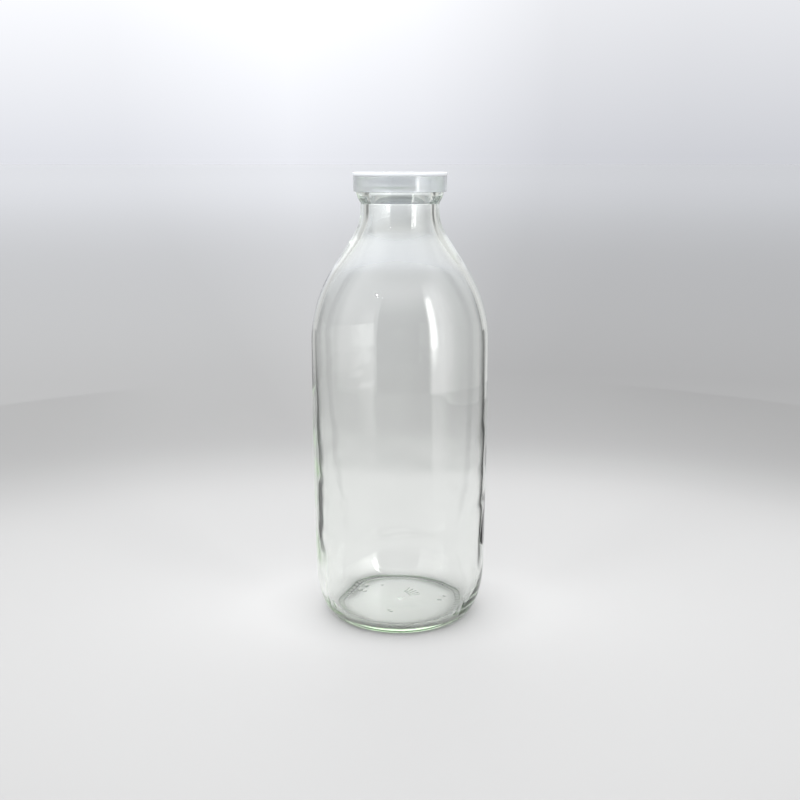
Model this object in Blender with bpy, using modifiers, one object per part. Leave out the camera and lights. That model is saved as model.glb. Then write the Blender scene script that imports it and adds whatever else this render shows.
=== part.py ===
"""Glass milk bottle with a push-on plastic cap, in metres, +Z up.

The bottle stands on z = 0 with its axis on the Z axis. Each piece is one turned outline.
"""

import math

import bpy

MM = 0.001
TURN_STEPS = 60

# Bottle, outside
BODY_RADIUS = 44.3 * MM
HEEL_RADIUS = 43.5 * MM
HEEL_HEIGHT = 26.0 * MM
BEARING_OUTER = 33.2 * MM
BEARING_INNER = 30.4 * MM
PUSH_UP = 2.6 * MM
PUSH_UP_EDGE = 0.7 * MM
BODY_STRAIGHT_FROM = 123.5 * MM
SHOULDER_START = 141.2 * MM
SHOULDER_ARC = 68.8 * MM
NECK_ARC = 20.5 * MM
NECK_START = 206.6 * MM
NECK_RADIUS = 19.2 * MM

# Finish: the rounded bead round the mouth
RIM_HEIGHT = 223.0 * MM
BEAD_RADIUS = 21.5 * MM
BEAD_CENTRE = 217.5 * MM
BEAD_ARC = 13.0 * MM
BEAD_FOOT_FILLET = 0.9 * MM
RIM_OUTER_ROUND = 2.0 * MM
RIM_INNER_ROUND = 0.8 * MM

# Bottle, inside
SEAT_RADIUS = 17.4 * MM
SEAT_HEIGHT = 218.4 * MM
SEAT_CONE = 1.5 * MM
WALL_SHOULDER = 2.7 * MM
WALL_NECK = 3.9 * MM
WALL_HEEL = 3.2 * MM
INNER_HEEL_START = 26.0 * MM
FLOOR_EDGE_RADIUS = 32.0 * MM
FLOOR_EDGE_HEIGHT = 4.2 * MM
FLOOR_DOME = 2.2 * MM

# Points along each curve of the outlines
FLOOR_STEPS = 6
INNER_HEEL_STEPS = 7
HEEL_STEPS = 8
WALL_STEPS = 3
INNER_SHOULDER_STEPS = 6
SHOULDER_STEPS = 7
BEAD_STEPS = 5
ROUND_STEPS = 3
SMALL_ROUND_STEPS = 2

# Cap
GAP = 0.3 * MM
DISC_THICKNESS = 1.4 * MM
CAP_TOP = RIM_HEIGHT + GAP + DISC_THICKNESS
FLANGE_RADIUS = 23.05 * MM
FLANGE_THICKNESS = 1.5 * MM
FLANGE_ROUND = 0.45 * MM
SKIRT_BOTTOM = 215.6 * MM
SKIRT_RADIUS_TOP = 22.85 * MM
SKIRT_RADIUS_BOTTOM = 22.7 * MM
SKIRT_ROUND = 0.35 * MM
SKIRT_INNER = BEAD_RADIUS + 1.6 * GAP
RIDGE_INNER = BEAD_RADIUS + GAP
RIDGE_HALF = 0.5 * MM
PLUG_OUTER = SEAT_RADIUS - GAP
PLUG_INNER = 16.0 * MM
PLUG_BOTTOM = 218.9 * MM
PLUG_TIP = 0.5 * MM
PANEL_RADIUS = 15.5 * MM
PANEL_SLOPE = 0.8 * MM
PANEL_DEPTH = 0.35 * MM


def arc(centre, radius, start, end, steps):
    """Points of a circular arc in the (radius, height) plane; angles in degrees from +X."""
    cx, cz = centre
    angles = [math.radians(start + (end - start) * i / steps) for i in range(steps + 1)]
    return [(cx + radius * math.cos(a), cz + radius * math.sin(a)) for a in angles]


def quarter_ellipse(centre, half_width, half_height, steps):
    """The lower right quarter of an ellipse, from its lowest point to its rightmost."""
    cx, cz = centre
    angles = [math.radians(-90 + 90 * i / steps) for i in range(steps + 1)]
    return [(cx + half_width * math.cos(a), cz + half_height * math.sin(a)) for a in angles]


def barrel(low, high, full_radius, low_radius, steps):
    """Points up a wall that widens from low_radius to full_radius and leaves it upright."""
    points = []
    for i in range(steps + 1):
        rise = i / steps
        radius = full_radius - (full_radius - low_radius) * (1 - rise) ** 2
        points.append((radius, low + (high - low) * rise))
    return points


def dome(edge_radius, edge_height, rise, steps):
    """Points from the axis out to the edge of a shallow dome."""
    points = []
    for i in range(steps + 1):
        out = i / steps
        points.append((edge_radius * out, edge_height + rise * (1 - out**2)))
    return points


def level_dome(edge_radius, edge_height, rise, steps):
    """Points from the axis out to the edge of a dome that is level at its edge."""
    points = []
    for i in range(steps + 1):
        out = i / steps
        points.append((edge_radius * out, edge_height + rise * (1 + math.cos(math.pi * out)) / 2))
    return points


def shoulder(wall_low, wall_high, steps):
    """Upward points of the shoulder, set in from the outside by a wall at each end."""
    low_centre = (BODY_RADIUS - SHOULDER_ARC, SHOULDER_START)
    high_centre = (NECK_RADIUS + NECK_ARC, NECK_START)
    low_arc = SHOULDER_ARC - wall_low
    high_arc = NECK_ARC + wall_high
    across = high_centre[0] - low_centre[0]
    up = high_centre[1] - low_centre[1]
    # Both arcs end on the line that touches both circles.
    tangent = math.atan2(up, across) - math.acos((low_arc + high_arc) / math.hypot(across, up))
    sweep = math.degrees(tangent)
    convex = arc(low_centre, low_arc, 0, sweep, steps)
    concave = arc(high_centre, high_arc, 180 + sweep, 180, steps)
    return convex + concave


def bottle_inside():
    """Upward points of the inner wall, from the axis at the floor to the rim."""
    inner_body = BODY_RADIUS - WALL_SHOULDER
    inner_heel = HEEL_RADIUS - WALL_HEEL
    floor = level_dome(FLOOR_EDGE_RADIUS, FLOOR_EDGE_HEIGHT, FLOOR_DOME, FLOOR_STEPS)
    heel = quarter_ellipse(
        (FLOOR_EDGE_RADIUS, INNER_HEEL_START),
        inner_heel - FLOOR_EDGE_RADIUS,
        INNER_HEEL_START - FLOOR_EDGE_HEIGHT,
        INNER_HEEL_STEPS,
    )
    wall = barrel(INNER_HEEL_START, BODY_STRAIGHT_FROM, inner_body, inner_heel, WALL_STEPS)
    bore = SEAT_HEIGHT - SEAT_CONE
    mouth = [(NECK_RADIUS - WALL_NECK, bore), (SEAT_RADIUS, SEAT_HEIGHT)]
    rim = (SEAT_RADIUS + RIM_INNER_ROUND, RIM_HEIGHT - RIM_INNER_ROUND)
    return (
        floor
        + heel[1:]
        + wall[1:]
        + shoulder(WALL_SHOULDER, WALL_NECK, INNER_SHOULDER_STEPS)
        + mouth
        + arc(rim, RIM_INNER_ROUND, 180, 90, SMALL_ROUND_STEPS)
    )


def bottle_outside():
    """Downward points of the outer wall, from the rim to the axis under the push-up."""
    rim = (BEAD_RADIUS - RIM_OUTER_ROUND, RIM_HEIGHT - RIM_OUTER_ROUND)
    bead_centre = (BEAD_RADIUS - BEAD_ARC, BEAD_CENTRE)
    fillet_radius = NECK_RADIUS + BEAD_FOOT_FILLET
    bead_angle = math.acos((fillet_radius - bead_centre[0]) / (BEAD_ARC + BEAD_FOOT_FILLET))
    bead_end = math.degrees(bead_angle)
    foot = BEAD_CENTRE - (BEAD_ARC + BEAD_FOOT_FILLET) * math.sin(bead_angle)
    finish = arc(rim, RIM_OUTER_ROUND, 90, 0, ROUND_STEPS)
    finish += arc(bead_centre, BEAD_ARC, 0, -bead_end, BEAD_STEPS)
    fillet = arc((fillet_radius, foot), BEAD_FOOT_FILLET, 180 - bead_end, 180, SMALL_ROUND_STEPS)
    finish += fillet[1:]
    wall = barrel(HEEL_HEIGHT, BODY_STRAIGHT_FROM, BODY_RADIUS, HEEL_RADIUS, WALL_STEPS)
    heel_width = HEEL_RADIUS - BEARING_OUTER
    heel = quarter_ellipse((BEARING_OUTER, HEEL_HEIGHT), heel_width, HEEL_HEIGHT, HEEL_STEPS)
    push_up_rise = PUSH_UP - PUSH_UP_EDGE
    push_up = dome(BEARING_INNER - PUSH_UP_EDGE, PUSH_UP_EDGE, push_up_rise, WALL_STEPS)
    upward = push_up + [(BEARING_INNER, 0.0)] + heel + wall[1:] + shoulder(0.0, 0.0, SHOULDER_STEPS)
    return finish + upward[::-1]


def cap_outline():
    """Points from the axis on top of the cap, down the skirt and round the plug, to the axis below."""
    under = RIM_HEIGHT + GAP
    ridge = SKIRT_BOTTOM + SKIRT_ROUND + 2 * RIDGE_HALF
    flange_under = CAP_TOP - FLANGE_THICKNESS
    points = [(0.0, under), (PLUG_INNER, under), (PLUG_INNER, PLUG_BOTTOM)]
    points += [(PLUG_OUTER - PLUG_TIP, PLUG_BOTTOM), (PLUG_OUTER, PLUG_BOTTOM + 2 * PLUG_TIP)]
    points += [(PLUG_OUTER, under), (SKIRT_INNER - SKIRT_ROUND, under)]
    points += [(SKIRT_INNER, under - SKIRT_ROUND)]
    points += [(SKIRT_INNER, ridge + RIDGE_HALF), (RIDGE_INNER, ridge)]
    points += [(RIDGE_INNER, ridge - RIDGE_HALF), (SKIRT_INNER, SKIRT_BOTTOM)]
    skirt_foot = (SKIRT_RADIUS_BOTTOM - SKIRT_ROUND, SKIRT_BOTTOM + SKIRT_ROUND)
    points += arc(skirt_foot, SKIRT_ROUND, -90, 0, ROUND_STEPS)
    points += [(SKIRT_RADIUS_TOP, flange_under)]
    inset = FLANGE_RADIUS - FLANGE_ROUND
    points += arc((inset, flange_under + FLANGE_ROUND), FLANGE_ROUND, -60, 0, SMALL_ROUND_STEPS)
    points += arc((inset, CAP_TOP - FLANGE_ROUND), FLANGE_ROUND, 0, 90, ROUND_STEPS)
    points += [(PANEL_RADIUS + PANEL_SLOPE, CAP_TOP), (PANEL_RADIUS, CAP_TOP - PANEL_DEPTH)]
    points += [(0.0, CAP_TOP - PANEL_DEPTH)]
    return points[::-1]


def material(name, colour, roughness, transmission, ior):
    made = bpy.data.materials.new(name)
    made.use_nodes = True
    shader = made.node_tree.nodes["Principled BSDF"]
    shader.inputs["Base Color"].default_value = (*colour, 1.0)
    shader.inputs["Roughness"].default_value = roughness
    shader.inputs["Metallic"].default_value = 0.0
    shader.inputs["Transmission Weight"].default_value = transmission
    shader.inputs["IOR"].default_value = ior
    made.diffuse_color = (*colour, 1.0)
    return made


def turned(name, outline, surface, collection):
    """One closed turned piece from an outline in the (radius, height) plane."""
    mesh = bpy.data.meshes.new(name)
    points = [(radius, 0.0, height) for radius, height in outline]
    edges = [(i, i + 1) for i in range(len(points) - 1)]
    mesh.from_pydata(points, edges, [])
    mesh.materials.append(surface)
    piece = bpy.data.objects.new(name, mesh)
    collection.objects.link(piece)
    screw = piece.modifiers.new("Turn", "SCREW")
    screw.axis = "Z"
    screw.angle = math.tau
    screw.steps = TURN_STEPS
    screw.render_steps = TURN_STEPS
    screw.use_smooth_shade = True
    screw.use_merge_vertices = True
    screw.merge_threshold = 0.00001
    return piece


for old in list(bpy.data.objects):
    bpy.data.objects.remove(old, do_unlink=True)

bottle_parts = bpy.data.collections.new("glass_milk_bottle")
bpy.context.scene.collection.children.link(bottle_parts)

glass = material("pale_green_glass", (0.80, 0.88, 0.84), 0.03, 1.0, 1.52)
plastic = material("white_polyethylene", (0.85, 0.89, 0.92), 0.35, 0.15, 1.51)

turned("glass_bottle", bottle_inside() + bottle_outside(), glass, bottle_parts)
turned("snap_cap", cap_outline(), plastic, bottle_parts)
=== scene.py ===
"""Glass milk bottle with a push-on cap: looks, stage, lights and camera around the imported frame."""

import math

import bpy
import numpy as np
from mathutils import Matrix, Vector, noise


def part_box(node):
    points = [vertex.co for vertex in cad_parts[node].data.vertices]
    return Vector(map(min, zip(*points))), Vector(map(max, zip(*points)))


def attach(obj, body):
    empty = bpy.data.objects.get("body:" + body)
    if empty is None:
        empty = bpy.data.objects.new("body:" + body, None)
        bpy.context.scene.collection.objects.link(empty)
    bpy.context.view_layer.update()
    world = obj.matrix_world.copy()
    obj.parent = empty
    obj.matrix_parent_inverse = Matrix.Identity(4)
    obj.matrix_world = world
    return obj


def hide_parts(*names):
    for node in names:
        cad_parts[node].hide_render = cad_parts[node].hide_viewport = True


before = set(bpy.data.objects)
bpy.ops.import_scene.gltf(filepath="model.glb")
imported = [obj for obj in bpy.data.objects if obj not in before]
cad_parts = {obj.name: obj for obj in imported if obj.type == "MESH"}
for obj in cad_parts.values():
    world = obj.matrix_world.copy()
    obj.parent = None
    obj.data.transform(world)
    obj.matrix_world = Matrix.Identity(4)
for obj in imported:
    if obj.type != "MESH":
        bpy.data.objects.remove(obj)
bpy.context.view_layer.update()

MM = 0.001

# Camera: its distance from the bottle's axis, its height above the table, its tilt and its view
CAMERA_DISTANCE = 0.5256
CAMERA_HEIGHT = 0.2324
CAMERA_TILT = math.radians(12.94)
VIEW_ANGLE = math.radians(41.25)

# The CAD boxes give the sizes that the two pieces share with the frame
bottle_low, bottle_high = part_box("glass_bottle")
cap_low, cap_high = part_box("snap_cap")
BODY_RADIUS = bottle_high[0]
RIM_HEIGHT = bottle_high[2]
FLANGE_RADIUS = cap_high[0]
CAP_TOP = cap_high[2]
SKIRT_BOTTOM = cap_low[2]

# Bottle, outside
HEEL_RADIUS = 43.5 * MM
HEEL_HEIGHT = 26.0 * MM
BEARING_OUTER = 33.2 * MM
BEARING_INNER = 30.4 * MM
PUSH_UP = 2.6 * MM
PUSH_UP_EDGE = 0.7 * MM
BODY_STRAIGHT_FROM = 123.5 * MM
SHOULDER_START = 141.2 * MM
SHOULDER_ARC = 68.8 * MM
NECK_ARC = 20.5 * MM
NECK_START = 206.6 * MM
NECK_RADIUS = 19.2 * MM
BEAD_RADIUS = 21.5 * MM
BEAD_CENTRE = 217.5 * MM
BEAD_ARC = 13.0 * MM
BEAD_FOOT_FILLET = 0.9 * MM
RIM_OUTER_ROUND = 2.0 * MM
RIM_INNER_ROUND = 0.8 * MM

# Bottle, inside
SEAT_RADIUS = 17.4 * MM
SEAT_HEIGHT = 218.4 * MM
SEAT_CONE = 1.5 * MM
WALL_SHOULDER = 2.7 * MM
WALL_NECK = 3.9 * MM
WALL_HEEL = 3.2 * MM
INNER_HEEL_START = 26.0 * MM
FLOOR_EDGE_RADIUS = 32.0 * MM
FLOOR_EDGE_HEIGHT = 4.2 * MM
FLOOR_DOME = 2.2 * MM

# Unevenness of the blown inner wall, and the moulded marks on the heel and under the base
WAVE_DEPTH = 0.32 * MM
WAVE_FADE_FROM = 70.0 * MM
WAVE_FADE_TO = 135.0 * MM
# Wave patterns: how fine round the axis, how fine along the outline, and the seed
BROAD_WAVES = (1.1, 62.0, 3.1)
FINE_WAVES = (2.6, 120.0, 9.4)
FLOOR_RIPPLES = (1.2, 60.0, 5.7)
LEAN_LOW = 0.6 * MM
LEAN_HIGH = -0.2 * MM
RIPPLE = 0.1 * MM
KNURL_COUNT = 96
KNURL_DEPTH = 0.45 * MM
MARK_HEIGHT = 0.2 * MM
DOT_DEPTH = 0.22 * MM
DOT_SPACING = 3.6 * MM
DOT_FLAT = 0.5 * MM
DOT_RADIUS = 1.3 * MM
# Dot columns on the heel: angle, number of dots and height of the first
HEEL_DOTS = ((212, 5, 8.5 * MM), (318, 4, 5.0 * MM))
# Marks under the base: one in the middle, short radial strokes and round spots
MIDDLE_MARK = 1.0 * MM
STROKE_ANGLES = (14, 27, 40, 53, 66)
STROKE_FROM = 4.5 * MM
STROKE_TO = 10.0 * MM
STROKE_WIDTH = 0.7 * MM
# Each spot's distance in mm, angle and size in mm
SPOTS = (
    (20.5, -7, 1.3), (23.0, 3, 1.0), (15.0, -112, 1.1), (16.5, -106, 1.1),
    (25.0, 140, 1.2), (26.5, 148, 1.2), (23.0, 149, 1.0), (17.0, 128, 0.9),
)

# Cap
GAP = 0.3 * MM
FLANGE_THICKNESS = 1.5 * MM
FLANGE_ROUND = 0.45 * MM
SKIRT_RADIUS_TOP = 22.85 * MM
SKIRT_RADIUS_BOTTOM = 22.7 * MM
SKIRT_ROUND = 0.35 * MM
SKIRT_INNER = BEAD_RADIUS + 1.6 * GAP
RIDGE_INNER = BEAD_RADIUS + GAP
RIDGE_HALF = 0.5 * MM
PLUG_OUTER = SEAT_RADIUS - GAP
PLUG_INNER = 16.0 * MM
PLUG_BOTTOM = 218.9 * MM
PLUG_TIP = 0.5 * MM
PANEL_RADIUS = 15.5 * MM
PANEL_SLOPE = 0.8 * MM
PANEL_DEPTH = 0.35 * MM
RIM_FROM = 20.0 * MM
GATE_RADIUS = 1.6 * MM
GATE_RISE = 0.2 * MM

# Finishes: the glass's tint in depth, and the share of light, lowest and highest roughness of the plastic
GLASS_IOR = 1.52
GLASS_TINT = (0.35, 0.85, 0.15, 1.0)
GLASS_TINT_DENSITY = 5.0
PLASTIC_IOR = 1.5
THIN_PLASTIC = (0.64, 0.1, 0.18)
THICK_PLASTIC = (0.05, 0.3, 0.42)

# Floor: painted light and shade as greys by distance in metres, its size, and painted light and glow right
# under the bottle
FLOOR_PAINTED_LIGHT_AND_SHADE = (
    (0.05, 0.63), (0.07, 0.56), (0.10, 0.52), (0.15, 0.49), (0.21, 0.475), (0.29, 0.38), (0.36, 0.335),
    (0.5, 0.335), (0.75, 0.35), (1.1, 0.36), (1.6, 0.36), (2.6, 0.38), (5.0, 0.455), (10.0, 0.48),
)
FLOOR_HALF = 30.0
FLOOR_STRETCH = 0.7
UNDER_BOTTLE_PAINTED_LIGHT = 1.5
UNDER_BOTTLE_PAINTED_GLOW = 0.14

# Room: brightness by a direction's share of X, and colours at the horizon and overhead
SIDE_LIGHT = ((-0.25, 0.90), (-0.1, 1.0), (0.02, 0.92), (0.14, 0.77), (0.25, 0.74))
HORIZON_LIGHT = (0.842, 0.857, 0.91, 1.0)
ZENITH_LIGHT = (2.15, 2.15, 2.15, 1.0)

# Tent of light and shade round the bottle: sizes in metres, rings crowded towards the table, and levels
TENT_RADIUS = 0.6
TENT_HEIGHT = 4.0
TENT_STEPS = 119
TENT_CROWDING = 1.8
TENT_COLUMNS = 721
DARK_GROUND = ((0.07, 0.001), (0.59, 0.1))
GROUND_STEPS = 40
GROUND_COLUMNS = 1441
WINDOW_POOL = ((0.2, 0.001), (0.59, 0.003))
POOL_STEPS = 6
OPENING_LEVEL = 0.2
WINDOW_LEVEL = 1.8
HOT_LEVEL = 7.0
LEFT_END_LEVEL = 0.42
RIGHT_END_LEVEL = 0.75
LEFT_BACK_LEVEL = 0.6
RIGHT_BACK_LEVEL = 0.7
POOL_LEVEL = 1.35

# Two small lamps that make sparks on the shoulder
SPARK_LEVEL = 260.0
SPARK_HALF = 0.0055
SPARK_TURN = math.radians(-32)
SPARKS = (("left_spark", (-0.285, -0.39, 0.54)), ("right_spark", (-0.225, -0.43, 0.54)))

# Steps round the axis, and the angle from which the cap's edges are sharp
BOTTLE_STEPS = 384
CAP_STEPS = 288
SHARP_FROM = math.radians(40)


# Outlines


def arc(centre, radius, start, end, steps):
    """Points of a circular arc in the (radius, height) plane; angles in degrees from +X."""
    cx, cz = centre
    angles = [math.radians(start + (end - start) * i / steps) for i in range(steps + 1)]
    return [(cx + radius * math.cos(a), cz + radius * math.sin(a)) for a in angles]


def line(start, end, steps):
    """Points along a straight line, both ends among them."""
    shares = [i / steps for i in range(steps + 1)]
    return [tuple(a + (b - a) * s for a, b in zip(start, end)) for s in shares]


def quarter_ellipse(centre, half_width, half_height, steps):
    """The lower right quarter of an ellipse, from its lowest point to its rightmost."""
    cx, cz = centre
    angles = [math.radians(-90 + 90 * i / steps) for i in range(steps + 1)]
    return [(cx + half_width * math.cos(a), cz + half_height * math.sin(a)) for a in angles]


def barrel(low, high, full_radius, low_radius, steps):
    """Points up a wall that widens from low_radius to full_radius and leaves it upright."""
    points = []
    for i in range(steps + 1):
        rise = i / steps
        radius = full_radius - (full_radius - low_radius) * (1 - rise) ** 2
        points.append((radius, low + (high - low) * rise))
    return points


def dome(edge_radius, edge_height, rise, steps):
    """Points from the axis out to the edge of a shallow dome."""
    points = []
    for i in range(steps + 1):
        out = i / steps
        points.append((edge_radius * out, edge_height + rise * (1 - out**2)))
    return points


def smooth_dome(edge_radius, edge_height, rise, steps):
    """Points from the axis out to the edge of a dome that is level at its edge."""
    points = []
    for i in range(steps + 1):
        out = i / steps
        points.append((edge_radius * out, edge_height + rise * (1 + math.cos(math.pi * out)) / 2))
    return points


def shoulder(wall_low, wall_high, steps):
    """Upward points of the shoulder, set in from the outside by a wall at each end."""
    low_centre = (BODY_RADIUS - SHOULDER_ARC, SHOULDER_START)
    high_centre = (NECK_RADIUS + NECK_ARC, NECK_START)
    low_arc = SHOULDER_ARC - wall_low
    high_arc = NECK_ARC + wall_high
    across, up = high_centre[0] - low_centre[0], high_centre[1] - low_centre[1]
    tangent = math.atan2(up, across) - math.acos((low_arc + high_arc) / math.hypot(across, up))
    sweep = math.degrees(tangent)
    convex = arc(low_centre, low_arc, 0, sweep, steps)
    concave = arc(high_centre, high_arc, 180 + sweep, 180, steps)
    return convex + line(convex[-1], concave[0], steps=4)[1:-1] + concave


def bottle_inside():
    """Upward points of the inner wall, from the axis at the floor to the rim."""
    inner_body = BODY_RADIUS - WALL_SHOULDER
    inner_heel = HEEL_RADIUS - WALL_HEEL
    floor = smooth_dome(FLOOR_EDGE_RADIUS, FLOOR_EDGE_HEIGHT, FLOOR_DOME, steps=16)
    heel_rise = INNER_HEEL_START - FLOOR_EDGE_HEIGHT
    heel_centre = (FLOOR_EDGE_RADIUS, INNER_HEEL_START)
    heel = quarter_ellipse(heel_centre, inner_heel - FLOOR_EDGE_RADIUS, heel_rise, steps=20)
    wall = barrel(INNER_HEEL_START, BODY_STRAIGHT_FROM, inner_body, inner_heel, steps=44)
    rise = shoulder(WALL_SHOULDER, WALL_NECK, steps=13)
    bore = (NECK_RADIUS - WALL_NECK, SEAT_HEIGHT - SEAT_CONE)
    ledge = line(bore, (SEAT_RADIUS, SEAT_HEIGHT), steps=3)
    rim = (SEAT_RADIUS + RIM_INNER_ROUND, RIM_HEIGHT - RIM_INNER_ROUND)
    lip = arc(rim, RIM_INNER_ROUND, 180, 90, steps=4)
    up_bore = line(rise[-1], bore, steps=4)[1:-1]
    return floor + heel[1:] + wall[1:] + rise[1:] + up_bore + ledge + lip


def bottle_outside():
    """Downward points of the outer wall, from the rim to the bearing ring's outer edge."""
    rim = (BEAD_RADIUS - RIM_OUTER_ROUND, RIM_HEIGHT - RIM_OUTER_ROUND)
    bead_centre = (BEAD_RADIUS - BEAD_ARC, BEAD_CENTRE)
    fillet_radius = NECK_RADIUS + BEAD_FOOT_FILLET
    bead_angle = math.acos((fillet_radius - bead_centre[0]) / (BEAD_ARC + BEAD_FOOT_FILLET))
    bead_end = math.degrees(bead_angle)
    foot = BEAD_CENTRE - (BEAD_ARC + BEAD_FOOT_FILLET) * math.sin(bead_angle)
    finish = arc(rim, RIM_OUTER_ROUND, 90, 0, steps=7)
    finish += arc(bead_centre, BEAD_ARC, 0, -bead_end, steps=12)
    finish += arc((fillet_radius, foot), BEAD_FOOT_FILLET, 180 - bead_end, 180, steps=4)[1:]
    wall = barrel(HEEL_HEIGHT, BODY_STRAIGHT_FROM, BODY_RADIUS, HEEL_RADIUS, steps=16)
    heel_width = HEEL_RADIUS - BEARING_OUTER
    heel = quarter_ellipse((BEARING_OUTER, HEEL_HEIGHT), heel_width, HEEL_HEIGHT, steps=22)
    upward = heel + wall[1:] + shoulder(0.0, 0.0, steps=13)[1:]
    return finish + upward[::-1]


def bottle_base():
    """Inward points under the base, from the bearing ring's outer edge to the axis."""
    ring = line((BEARING_OUTER, 0.0), (BEARING_INNER, 0.0), steps=8)
    edge = BEARING_INNER - PUSH_UP_EDGE
    push_up = dome(edge, PUSH_UP_EDGE, PUSH_UP - PUSH_UP_EDGE, steps=46)
    return ring[1:] + push_up[::-1]


def cap_outline():
    """Points from the axis on top of the cap, down the skirt and round the plug, to the axis below."""
    under = RIM_HEIGHT + GAP
    ridge = SKIRT_BOTTOM + SKIRT_ROUND + 2 * RIDGE_HALF
    flange_under = CAP_TOP - FLANGE_THICKNESS
    inset = FLANGE_RADIUS - FLANGE_ROUND
    panel = CAP_TOP - PANEL_DEPTH
    points = line((0.0, panel), (PANEL_RADIUS, panel), steps=10)
    points += line((PANEL_RADIUS + PANEL_SLOPE, CAP_TOP), (inset, CAP_TOP), steps=4)
    points += arc((inset, CAP_TOP - FLANGE_ROUND), FLANGE_ROUND, 90, 0, steps=6)[1:]
    points += arc((inset, flange_under + FLANGE_ROUND), FLANGE_ROUND, 0, -60, steps=4)
    round_top = SKIRT_BOTTOM + SKIRT_ROUND
    points += line((SKIRT_RADIUS_TOP, flange_under), (SKIRT_RADIUS_BOTTOM, round_top), steps=8)
    skirt_foot = (SKIRT_RADIUS_BOTTOM - SKIRT_ROUND, round_top)
    points += arc(skirt_foot, SKIRT_ROUND, 0, -90, steps=5)[1:]
    points += [(SKIRT_INNER, SKIRT_BOTTOM), (RIDGE_INNER, ridge - RIDGE_HALF)]
    points += [(RIDGE_INNER, ridge), (SKIRT_INNER, ridge + RIDGE_HALF)]
    points += line((SKIRT_INNER, ridge + 2 * RIDGE_HALF), (SKIRT_INNER, under - SKIRT_ROUND), steps=4)
    points += [(SKIRT_INNER - SKIRT_ROUND, under), (PLUG_OUTER, under)]
    points += [(PLUG_OUTER, PLUG_BOTTOM + 2 * PLUG_TIP), (PLUG_OUTER - PLUG_TIP, PLUG_BOTTOM)]
    points += [(PLUG_INNER, PLUG_BOTTOM), (PLUG_INNER, under)]
    points += line((PLUG_INNER - GAP, under), (0.0, under), steps=6)
    return points


# Meshes


def smooth_step(value, low, high):
    """Zero below low, one above high, and smooth between."""
    share = np.clip((value - low) / (high - low), 0.0, 1.0)
    return share * share * (3 - 2 * share)


def turned_mesh(name, outline, steps, reshape):
    """A closed turned mesh. The outline starts and ends on the axis, and reshape moves its rings."""
    rings = outline[1:-1]
    angles = np.arange(steps) * math.tau / steps
    radius = np.array([r for r, _ in rings])[:, None] * np.ones(steps)
    height = np.array([z for _, z in rings])[:, None] * np.ones(steps)
    turn = np.ones(len(rings))[:, None] * angles
    radius, height = reshape(radius, height, turn)
    points = np.stack([radius * np.cos(turn), radius * np.sin(turn), height], axis=-1)
    points = points.reshape(-1, 3).tolist()
    first = len(points)
    points += [(0.0, 0.0, outline[0][1]), (0.0, 0.0, outline[-1][1])]
    faces = []
    for i in range(len(rings) - 1):
        for j in range(steps):
            k = (j + 1) % steps
            low, high = i * steps, (i + 1) * steps
            faces.append((low + j, high + j, high + k, low + k))
    last = (len(rings) - 1) * steps
    for j in range(steps):
        k = (j + 1) % steps
        faces.append((first, j, k))
        faces.append((first + 1, last + k, last + j))
    mesh = bpy.data.meshes.new(name)
    mesh.from_pydata(points, [], faces)
    mesh.validate()
    mesh.shade_smooth()
    return mesh


def wave_field(turn, height, around, upward, seed):
    """Smooth noise over a wall, closed round the axis, about -1 to 1."""
    values = np.empty(turn.shape)
    flat = values.reshape(-1)
    for i, (a, z) in enumerate(zip(turn.reshape(-1), height.reshape(-1))):
        place = Vector((around * math.cos(a), around * math.sin(a), upward * z + seed))
        flat[i] = noise.noise(place)
    return values


def bump_at(radius, turn, distance, angle, size):
    """A round bump of the given size centred at a distance and angle from the axis."""
    dx = radius * np.cos(turn) - distance * math.cos(angle)
    dy = radius * np.sin(turn) - distance * math.sin(angle)
    return 1 - smooth_step(np.hypot(dx, dy), 0.35 * size, size)


def stroke_at(radius, turn, angle, start, end, width):
    """A short radial bar between two distances from the axis."""
    across = np.abs(radius * np.sin(turn - angle))
    along = smooth_step(radius, start, start + width) * (1 - smooth_step(radius, end - width, end))
    ahead = np.cos(turn - angle) > 0
    return ahead * along * (1 - smooth_step(across, 0.25 * width, width))


INSIDE = bottle_inside()
OUTSIDE = bottle_outside()
BASE = bottle_base()


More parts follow.
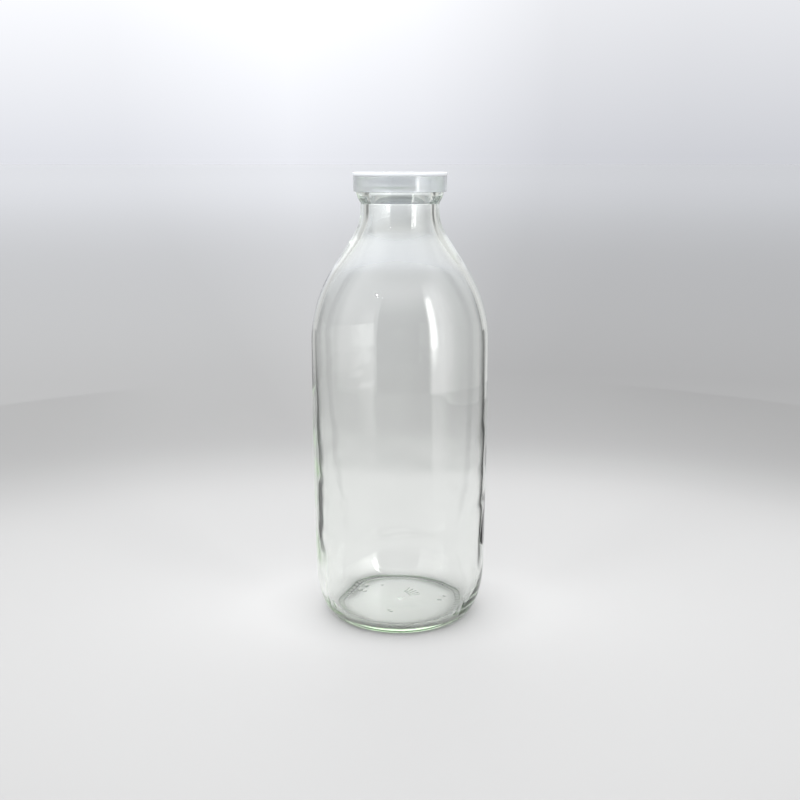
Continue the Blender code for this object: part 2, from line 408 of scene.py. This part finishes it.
def uneven_bottle(radius, height, turn):
    """Waves in the blown inner wall, the knurled bearing ring and plain moulded marks."""
    inner = slice(0, len(INSIDE) - 1)
    outer = slice(len(INSIDE) - 1, len(INSIDE) - 1 + len(OUTSIDE))
    base = slice(len(INSIDE) - 1 + len(OUTSIDE), None)

    # The waves cover the wall, but not the middle of the floor or the mouth
    r, z, a = radius[inner], height[inner], turn[inner]
    clear = smooth_step(r, 10 * MM, 34 * MM) * smooth_step(z, 6 * MM, 24 * MM)
    clear = np.maximum(clear, (z > 100 * MM) * 1.0) * (1 - smooth_step(z, 196 * MM, 208 * MM))
    fade = 1 - 0.8 * smooth_step(z, WAVE_FADE_FROM, WAVE_FADE_TO)
    bands = wave_field(a, z, *BROAD_WAVES) + 0.5 * wave_field(a, z, *FINE_WAVES)
    lean = (LEAN_LOW + (LEAN_HIGH - LEAN_LOW) * smooth_step(z, 60 * MM, 150 * MM)) * np.cos(a)
    radius[inner] = r + clear * (WAVE_DEPTH * fade * bands + lean)
    ripple = wave_field(a, r, *FLOOR_RIPPLES)
    height[inner] = z + RIPPLE * ripple * (z < 6.5 * MM) * smooth_step(r, 0.0, 12 * MM)

    r, z, a = radius[outer], height[outer], turn[outer]
    for angle, count, first in HEEL_DOTS:
        off = a - math.radians(angle)
        for i in range(count):
            away = np.hypot(r * np.sin(off), z - first - i * DOT_SPACING)
            near = (np.cos(off) > 0.5) * (1 - smooth_step(away, DOT_FLAT, DOT_RADIUS))
            radius[outer] -= DOT_DEPTH * near

    r, z, a = radius[base], height[base], turn[base]
    ring = smooth_step(r, BEARING_INNER - 1.2 * MM, BEARING_INNER) * (
        1 - smooth_step(r, BEARING_OUTER - 0.4 * MM, BEARING_OUTER)
    )
    lift = KNURL_DEPTH * ring * (0.5 + 0.5 * np.cos(KNURL_COUNT * a))
    marks = bump_at(r, a, 0.0, 0.0, MIDDLE_MARK)
    for angle in STROKE_ANGLES:
        stroke = stroke_at(r, a, math.radians(angle), STROKE_FROM, STROKE_TO, STROKE_WIDTH)
        marks = np.maximum(marks, stroke)
    for distance, where, size in SPOTS:
        spot = bump_at(r, a, distance * MM, math.radians(where), size * MM)
        marks = np.maximum(marks, spot)
    height[base] = z + lift - MARK_HEIGHT * marks * (r < BEARING_INNER - 3 * MM)
    return radius, height


def gated_cap(radius, height, turn):
    """A raised gate mark in the middle of the cap's panel."""
    gate = (radius < GATE_RADIUS) * (height > CAP_TOP - 2 * PANEL_DEPTH)
    return radius, height + GATE_RISE * gate


# Materials


def new_material(name):
    """A material with its node tree's nodes and links and its Principled shader."""
    made = bpy.data.materials.new(name)
    made.use_nodes = True
    nodes = made.node_tree.nodes
    return made, nodes, made.node_tree.links, nodes["Principled BSDF"]


def add_noise(nodes, links, where, scale, detail):
    """A noise texture's value at a place."""
    texture = nodes.new("ShaderNodeTexNoise")
    texture.inputs["Scale"].default_value = scale
    texture.inputs["Detail"].default_value = detail
    links.new(where, texture.inputs["Vector"])
    return texture.outputs["Fac"]


def map_range(nodes, links, source, from_low, from_high, to_low, to_high):
    """A value moved linearly from one range to another and held inside it."""
    mapper = nodes.new("ShaderNodeMapRange")
    mapper.inputs["From Min"].default_value = from_low
    mapper.inputs["From Max"].default_value = from_high
    mapper.inputs["To Min"].default_value = to_low
    mapper.inputs["To Max"].default_value = to_high
    links.new(source, mapper.inputs["Value"])
    return mapper.outputs["Result"]


def feed(links, source, socket):
    """Links one socket to another, or sets a plain number on it."""
    if isinstance(source, bpy.types.NodeSocket):
        links.new(source, socket)
    else:
        socket.default_value = source


def calculate(nodes, links, operation, first, second):
    """The result of a math operation on two sockets or plain numbers."""
    result = nodes.new("ShaderNodeMath")
    result.operation = operation
    feed(links, first, result.inputs[0])
    feed(links, second, result.inputs[1])
    return result.outputs[0]


def length_of(nodes, links, vector):
    """The length of a vector."""
    measure = nodes.new("ShaderNodeVectorMath")
    measure.operation = "LENGTH"
    links.new(vector, measure.inputs[0])
    return measure.outputs["Value"]


def scaled(nodes, links, colour, scale):
    """A colour times a number."""
    shade = nodes.new("ShaderNodeVectorMath")
    shade.operation = "SCALE"
    links.new(colour, shade.inputs[0])
    links.new(scale, shade.inputs["Scale"])
    return shade.outputs["Vector"]


def colour_ramp(nodes, links, source, stops, interpolation="LINEAR"):
    """A colour that follows a value through stops, which are (position, colour) pairs."""
    ramp = nodes.new("ShaderNodeValToRGB")
    ramp.color_ramp.interpolation = interpolation
    elements = ramp.color_ramp.elements
    while len(elements) < len(stops):
        elements.new(0.5)
    for element, (position, colour) in zip(elements, stops):
        element.position = position
        element.color = colour
    links.new(source, ramp.inputs["Fac"])
    return ramp.outputs["Color"]


def glass_material():
    """Clear soda-lime glass: faint green in depth, fire-polished, with a few handling marks."""
    made, nodes, links, shader = new_material("clear_green_tinged_glass")
    shader.inputs["Base Color"].default_value = (0.998, 1.0, 0.999, 1.0)
    shader.inputs["Transmission Weight"].default_value = 1.0
    shader.inputs["IOR"].default_value = GLASS_IOR
    place = nodes.new("ShaderNodeTexCoord").outputs["Object"]
    marks = add_noise(nodes, links, place, scale=55.0, detail=6.0)
    links.new(map_range(nodes, links, marks, 0.55, 0.85, 0.0, 0.035), shader.inputs["Roughness"])
    drift = add_noise(nodes, links, place, scale=24.0, detail=1.0)
    bump = nodes.new("ShaderNodeBump")
    bump.inputs["Strength"].default_value = 0.25
    bump.inputs["Distance"].default_value = 0.0004
    links.new(drift, bump.inputs["Height"])
    links.new(bump.outputs["Normal"], shader.inputs["Normal"])
    inside = nodes.new("ShaderNodeVolumeAbsorption")
    inside.inputs["Color"].default_value = GLASS_TINT
    inside.inputs["Density"].default_value = GLASS_TINT_DENSITY
    links.new(inside.outputs["Volume"], nodes["Material Output"].inputs["Volume"])
    return made


def cap_material(name, transmission, low_rough, high_rough):
    """White polyethylene that light soaks through, with a fine moulded texture."""
    made, nodes, links, shader = new_material(name)
    shader.inputs["Transmission Weight"].default_value = transmission
    shader.inputs["IOR"].default_value = PLASTIC_IOR
    place = nodes.new("ShaderNodeTexCoord").outputs["Object"]
    clouds = add_noise(nodes, links, place, scale=90.0, detail=3.0)
    tint = nodes.new("ShaderNodeMix")
    tint.data_type = "RGBA"
    tint.inputs["A"].default_value = (0.92, 0.96, 1.0, 1.0)
    tint.inputs["B"].default_value = (0.97, 0.985, 1.0, 1.0)
    links.new(clouds, tint.inputs["Factor"])
    links.new(tint.outputs["Result"], shader.inputs["Base Color"])
    grain = add_noise(nodes, links, place, scale=1400.0, detail=2.0)
    roughness = map_range(nodes, links, grain, 0.3, 0.7, low_rough, high_rough)
    links.new(roughness, shader.inputs["Roughness"])
    bump = nodes.new("ShaderNodeBump")
    bump.inputs["Strength"].default_value = 0.12
    bump.inputs["Distance"].default_value = 0.0001
    links.new(grain, bump.inputs["Height"])
    links.new(bump.outputs["Normal"], shader.inputs["Normal"])
    return made


# Stage, lights and camera


def add_object(name, data):
    """A new object in the scene."""
    made = bpy.data.objects.new(name, data)
    bpy.context.scene.collection.objects.link(made)
    return made


def make_camera():
    """The camera in front of the bottle, a little above it and looking down."""
    camera = add_object("camera", bpy.data.cameras.new("camera"))
    camera.data.angle = VIEW_ANGLE
    camera.location = (0.0, -CAMERA_DISTANCE, CAMERA_HEIGHT)
    camera.rotation_euler = (math.pi / 2 - CAMERA_TILT, 0.0, 0.0)
    bpy.context.scene.camera = camera


def reflected_or_grazing(nodes, links):
    """One for light that has been reflected, or has passed through one wall only, and zero otherwise."""
    path = nodes.new("ShaderNodeLightPath")
    reflected = calculate(nodes, links, "GREATER_THAN", path.outputs["Glossy Depth"], 0.5)
    grazing = calculate(nodes, links, "LESS_THAN", path.outputs["Transmission Depth"], 2.5)
    return calculate(nodes, links, "MAXIMUM", reflected, grazing)


def emission_material(name):
    """Light without shading. Its glow and its cover come from the mesh, so that edges can be soft.

    It doesn't show straight through the whole bottle: the plain room shows there.
    """
    made = bpy.data.materials.new(name)
    made.use_nodes = True
    nodes, links = made.node_tree.nodes, made.node_tree.links
    nodes.remove(nodes["Principled BSDF"])
    glow = nodes.new("ShaderNodeAttribute")
    glow.attribute_name = "glow"
    cover = nodes.new("ShaderNodeAttribute")
    cover.attribute_name = "cover"
    lit = nodes.new("ShaderNodeEmission")
    clear = nodes.new("ShaderNodeBsdfTransparent")
    mix = nodes.new("ShaderNodeMixShader")
    seen = reflected_or_grazing(nodes, links)
    links.new(glow.outputs["Color"], lit.inputs["Color"])
    links.new(calculate(nodes, links, "MULTIPLY", cover.outputs["Fac"], seen), mix.inputs["Fac"])
    links.new(clear.outputs[0], mix.inputs[1])
    links.new(lit.outputs[0], mix.inputs[2])
    links.new(mix.outputs[0], nodes["Material Output"].inputs["Surface"])
    return made


def emissive_mesh(name, points, faces, level, cover):
    """A mesh that shines with a level and a cover at each of its points."""
    mesh = bpy.data.meshes.new(name)
    mesh.from_pydata(points, [], faces)
    glow = mesh.attributes.new("glow", "FLOAT_COLOR", "POINT")
    colours = np.stack([level, level, level, np.ones_like(level)], axis=-1)
    glow.data.foreach_set("color", colours.astype(np.float32).reshape(-1))
    shown = mesh.attributes.new("cover", "FLOAT", "POINT")
    shown.data.foreach_set("value", cover.astype(np.float32).reshape(-1))
    mesh.materials.append(emission_material(name))
    return mesh


def soft_box(value, low, high, soft):
    """One between low and high, falling smoothly to zero over a distance soft outside them."""
    return smooth_step(value, low - soft, low) * (1 - smooth_step(value, high, high + soft))


def toward(level, target, share):
    """The level moved a share of the way to a target."""
    return level * (1 - share) + target * share


def tent(name, rings, columns, field):
    """A surface of light and shade round the bottle, seen only in its reflections and refractions.

    It runs through rings, which are (radius, height) pairs, and field(azimuth, height, radius) gives its
    level and its cover. Azimuth is in degrees from the camera's side of the bottle, positive to the right.
    """
    azimuth, radius = np.meshgrid(np.linspace(-180, 180, columns), [r for r, _ in rings])
    height = np.array([z for _, z in rings])[:, None] + 0 * azimuth
    level, cover = field(azimuth, height, radius)
    turn = np.radians(azimuth)
    points = np.stack([radius * np.sin(turn), -radius * np.cos(turn), height], axis=-1).reshape(-1, 3)
    faces = []
    for i in range(len(rings) - 1):
        for j in range(columns - 1):
            k = i * columns + j
            faces.append((k, k + 1, k + columns + 1, k + columns))
    wall = add_object(name, emissive_mesh(name, points.tolist(), faces, level, cover))
    unseen_by_camera(wall)


def unseen_by_camera(thing):
    """Stage dressing that the glass shows but the camera, the table and the shadows don't."""
    thing.visible_camera = False
    thing.visible_diffuse = False
    thing.visible_shadow = False


def tent_field(azimuth, height, radius):
    """White cloth at both sides, a dark opening behind the camera, a bright window, dark ends."""
    level = 0.8 + 0.28 * smooth_step(height, 0.0, 0.07) + 0 * azimuth
    opening = soft_box(azimuth, -28, 36, 1.5) * soft_box(height, 0.012, 0.38, 0.35)
    level = toward(level, OPENING_LEVEL, opening)
    window = smooth_step(azimuth, 38.5, 41) * (1 - smooth_step(azimuth, 52, 86))
    level = level + WINDOW_LEVEL * window * soft_box(height, 0.05, 0.5, 0.4)
    hot = soft_box(azimuth, 41, 46, 2.5) * soft_box(height, 0.16, 0.5, 0.12)
    level = level + HOT_LEVEL * hot
    left_end = smooth_step(-azimuth, 78, 92)
    right_end = smooth_step(azimuth, 80, 100)
    level = toward(level, LEFT_END_LEVEL, left_end)
    level = toward(level, RIGHT_END_LEVEL, right_end)
    # Narrow dark strips at the back draw the lines of the glass wall
    high = smooth_step(height, 0.2, 0.34)
    left_dark = smooth_step(-azimuth, 120, 128) * (1 - smooth_step(-azimuth, 133, 139))
    right_dark = smooth_step(azimuth, 122, 130) * (1 - smooth_step(azimuth, 134, 141))
    level = toward(level, 0.2 + 0.45 * high, left_dark)
    level = toward(level, 0.1 + 0.42 * high, right_dark)
    left_back = smooth_step(-azimuth, 133, 139)
    right_back = smooth_step(azimuth, 134, 141)
    level = toward(level, LEFT_BACK_LEVEL, left_back)
    level = toward(level, RIGHT_BACK_LEVEL, right_back)
    cover = (1 - smooth_step(-azimuth, 146, 158)) * (1 - smooth_step(azimuth, 150, 165))
    level = level * (1 - 0.42 * smooth_step(height, 0.7, 1.2))
    return level, cover * (1 - smooth_step(height, 3.2, 4.0))


def ground_field(azimuth, height, radius):
    """Dark ground beyond the sides of the white sheet, which draws the bottle's wall lines."""
    turn = np.radians(azimuth)
    beside = np.abs(radius * np.sin(turn)) - BODY_RADIUS
    behind = -radius * np.cos(turn)
    spread = np.degrees(np.arctan2(beside, behind))
    on_left = azimuth < 0
    inner = np.where(on_left, 33.5, 33.0)
    cover = smooth_step(spread, inner - 1.5, inner + 1.5) * (1 - smooth_step(spread, 46, 56))
    far = smooth_step(radius, 0.2, 0.5)
    level = np.where(on_left, 0.07 + 0.26 * far, 0.02 + 0.16 * far)
    return level, cover * smooth_step(radius, 0.075, 0.1)


def pool_field(azimuth, height, radius):
    """The window's light on the table in front of it."""
    cover = smooth_step(azimuth, 38, 42) * (1 - smooth_step(azimuth, 46, 72))
    return POOL_LEVEL + 0 * azimuth, cover * smooth_step(radius, 0.2, 0.4)


def spark(name, place):
    """A small bright lamp, above the camera and to its left."""
    wide = SPARK_HALF
    tall = 2 * SPARK_HALF
    corners = [(-wide, 0, -tall), (wide, 0, -tall), (wide, 0, tall), (-wide, 0, tall)]
    even = np.ones(len(corners))
    lamp = add_object(name, emissive_mesh(name, corners, [(0, 1, 2, 3)], SPARK_LEVEL * even, even))
    lamp.location = place
    lamp.rotation_euler = (0.0, 0.0, SPARK_TURN)
    unseen_by_camera(lamp)


def side_light(nodes, links, across):
    """The room's light by the direction's share of X: strongest a little left of the middle."""
    share = map_range(nodes, links, across, -0.5, 0.5, 0.0, 1.0)
    stops = [(at + 0.5, (grey, grey, grey, 1.0)) for at, grey in SIDE_LIGHT]
    return colour_ramp(nodes, links, share, stops)


def table_material():
    """Pale and dull, with painted light and shade as greys by distance from the bottle, and the room's
    uneven light painted on far away.
    """
    made, nodes, links, shader = new_material("pale_table_painted_light")
    shader.inputs["Roughness"].default_value = 0.6
    shader.inputs["Specular IOR Level"].default_value = 0.1
    place = nodes.new("ShaderNodeTexCoord").outputs["Object"]

    # The bands of painted light and shade are wider than they are deep, and follow the logarithm of the
    # distance
    flatten = nodes.new("ShaderNodeVectorMath")
    flatten.operation = "MULTIPLY"
    flatten.inputs[1].default_value = (FLOOR_STRETCH, 1.0, 0.0)
    links.new(place, flatten.inputs[0])
    distance = length_of(nodes, links, flatten.outputs["Vector"])
    power = calculate(nodes, links, "LOGARITHM", distance, 10.0)
    share = map_range(nodes, links, power, -2.0, 1.0, 0.0, 1.0)
    # Painted light and shade: the table's grey follows the distance from the bottle
    stops = []
    for away, grey in FLOOR_PAINTED_LIGHT_AND_SHADE:
        cool = 0.05 * min(1, max(0, math.log10(away) + 0.3))
        colour = (grey * (1 - 0.4 * cool), grey, grey * (1 + cool), 1.0)
        stops.append(((math.log10(away) + 2) / 3, colour))
    painted_greys = colour_ramp(nodes, links, share, stops, "B_SPLINE")

    # From about 0.24 m away, and fully from 0.63 m, the room's light from side to side is painted on it
    unit = nodes.new("ShaderNodeVectorMath")
    unit.operation = "NORMALIZE"
    links.new(place, unit.inputs[0])
    split = nodes.new("ShaderNodeSeparateXYZ")
    links.new(unit.outputs["Vector"], split.inputs[0])
    painted_side_light = nodes.new("ShaderNodeMix")
    painted_side_light.inputs["A"].default_value = 1.0
    links.new(map_range(nodes, links, share, 0.46, 0.6, 0.0, 1.0), painted_side_light.inputs["Factor"])
    links.new(side_light(nodes, links, split.outputs["X"]), painted_side_light.inputs["B"])

    # Painted light right under the bottle, where the base keeps out the room's light: a lighter colour and
    # a faint glow
    reach = length_of(nodes, links, place)
    under = map_range(nodes, links, reach, 0.027, 0.032, UNDER_BOTTLE_PAINTED_LIGHT, 1.0)
    glow = map_range(nodes, links, reach, 0.025, 0.03, UNDER_BOTTLE_PAINTED_GLOW, 0.0)
    links.new(glow, shader.inputs["Emission Strength"])
    shader.inputs["Emission Color"].default_value = (1.0, 1.0, 0.98, 1.0)

    shade = calculate(nodes, links, "MULTIPLY", painted_side_light.outputs["Result"], under)
    links.new(scaled(nodes, links, painted_greys, shade), shader.inputs["Base Color"])
    return made


def make_floor():
    """A wide pale table, with painted light that makes it white round the bottle and greyer away from it.
    """
    mesh = bpy.data.meshes.new("floor")
    half = FLOOR_HALF
    corners = [(-half, -half, 0), (half, -half, 0), (half, half, 0), (-half, half, 0)]
    mesh.from_pydata(corners, [], [(0, 1, 2, 3)])
    mesh.materials.append(table_material())
    add_object("floor", mesh)


def make_world():
    """A bright, even room: grey-white at the horizon, brighter above, a little brighter on the left."""
    world = bpy.data.worlds.new("room")
    bpy.context.scene.world = world
    world.use_nodes = True
    nodes, links = world.node_tree.nodes, world.node_tree.links
    place = nodes.new("ShaderNodeTexCoord").outputs["Generated"]
    split = nodes.new("ShaderNodeSeparateXYZ")
    links.new(place, split.inputs[0])
    sky = colour_ramp(nodes, links, split.outputs["Z"], [(0.0, HORIZON_LIGHT), (0.7, ZENITH_LIGHT)])
    side = side_light(nodes, links, split.outputs["X"])
    links.new(scaled(nodes, links, sky, side), nodes["Background"].inputs["Color"])


make_camera()
make_floor()
make_world()
tent_shares = [i / TENT_STEPS for i in range(TENT_STEPS + 1)]
tent_rings = [(TENT_RADIUS, TENT_HEIGHT * share**TENT_CROWDING) for share in tent_shares]
tent("light_tent", tent_rings, TENT_COLUMNS, tent_field)
tent("dark_ground", line(*DARK_GROUND, GROUND_STEPS), GROUND_COLUMNS, ground_field)
tent("window_pool", line(*WINDOW_POOL, POOL_STEPS), TENT_COLUMNS, pool_field)
for name, place in SPARKS:
    spark(name, place)

bottle_mesh = turned_mesh("milk_bottle_glass", INSIDE + OUTSIDE + BASE, BOTTLE_STEPS, uneven_bottle)
bottle_mesh.materials.append(glass_material())
bottle = add_object("milk_bottle_glass", bottle_mesh)
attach(bottle, "bottle")
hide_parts("glass_bottle")

cap_mesh = turned_mesh("milk_bottle_cap", cap_outline(), CAP_STEPS, gated_cap)
cap_mesh.set_sharp_from_angle(angle=SHARP_FROM)
cap_mesh.materials.append(cap_material("clear_white_polyethylene", *THIN_PLASTIC))
cap_mesh.materials.append(cap_material("thick_white_polyethylene", *THICK_PLASTIC))
# The thick rim of the disc takes the whiter plastic, apart from its faces that look straight down
for face in cap_mesh.polygons:
    from_axis = math.hypot(face.center.x, face.center.y)
    on_rim = face.center.z > CAP_TOP - FLANGE_THICKNESS and from_axis > RIM_FROM
    face.material_index = int(on_rim and face.normal.z > -0.9)
cap = add_object("milk_bottle_cap", cap_mesh)
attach(cap, "cap")
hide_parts("snap_cap")

scene = bpy.context.scene
scene.view_settings.view_transform = "Standard"
scene.cycles.max_bounces = 40
scene.cycles.glossy_bounces = 32
scene.cycles.transmission_bounces = 40
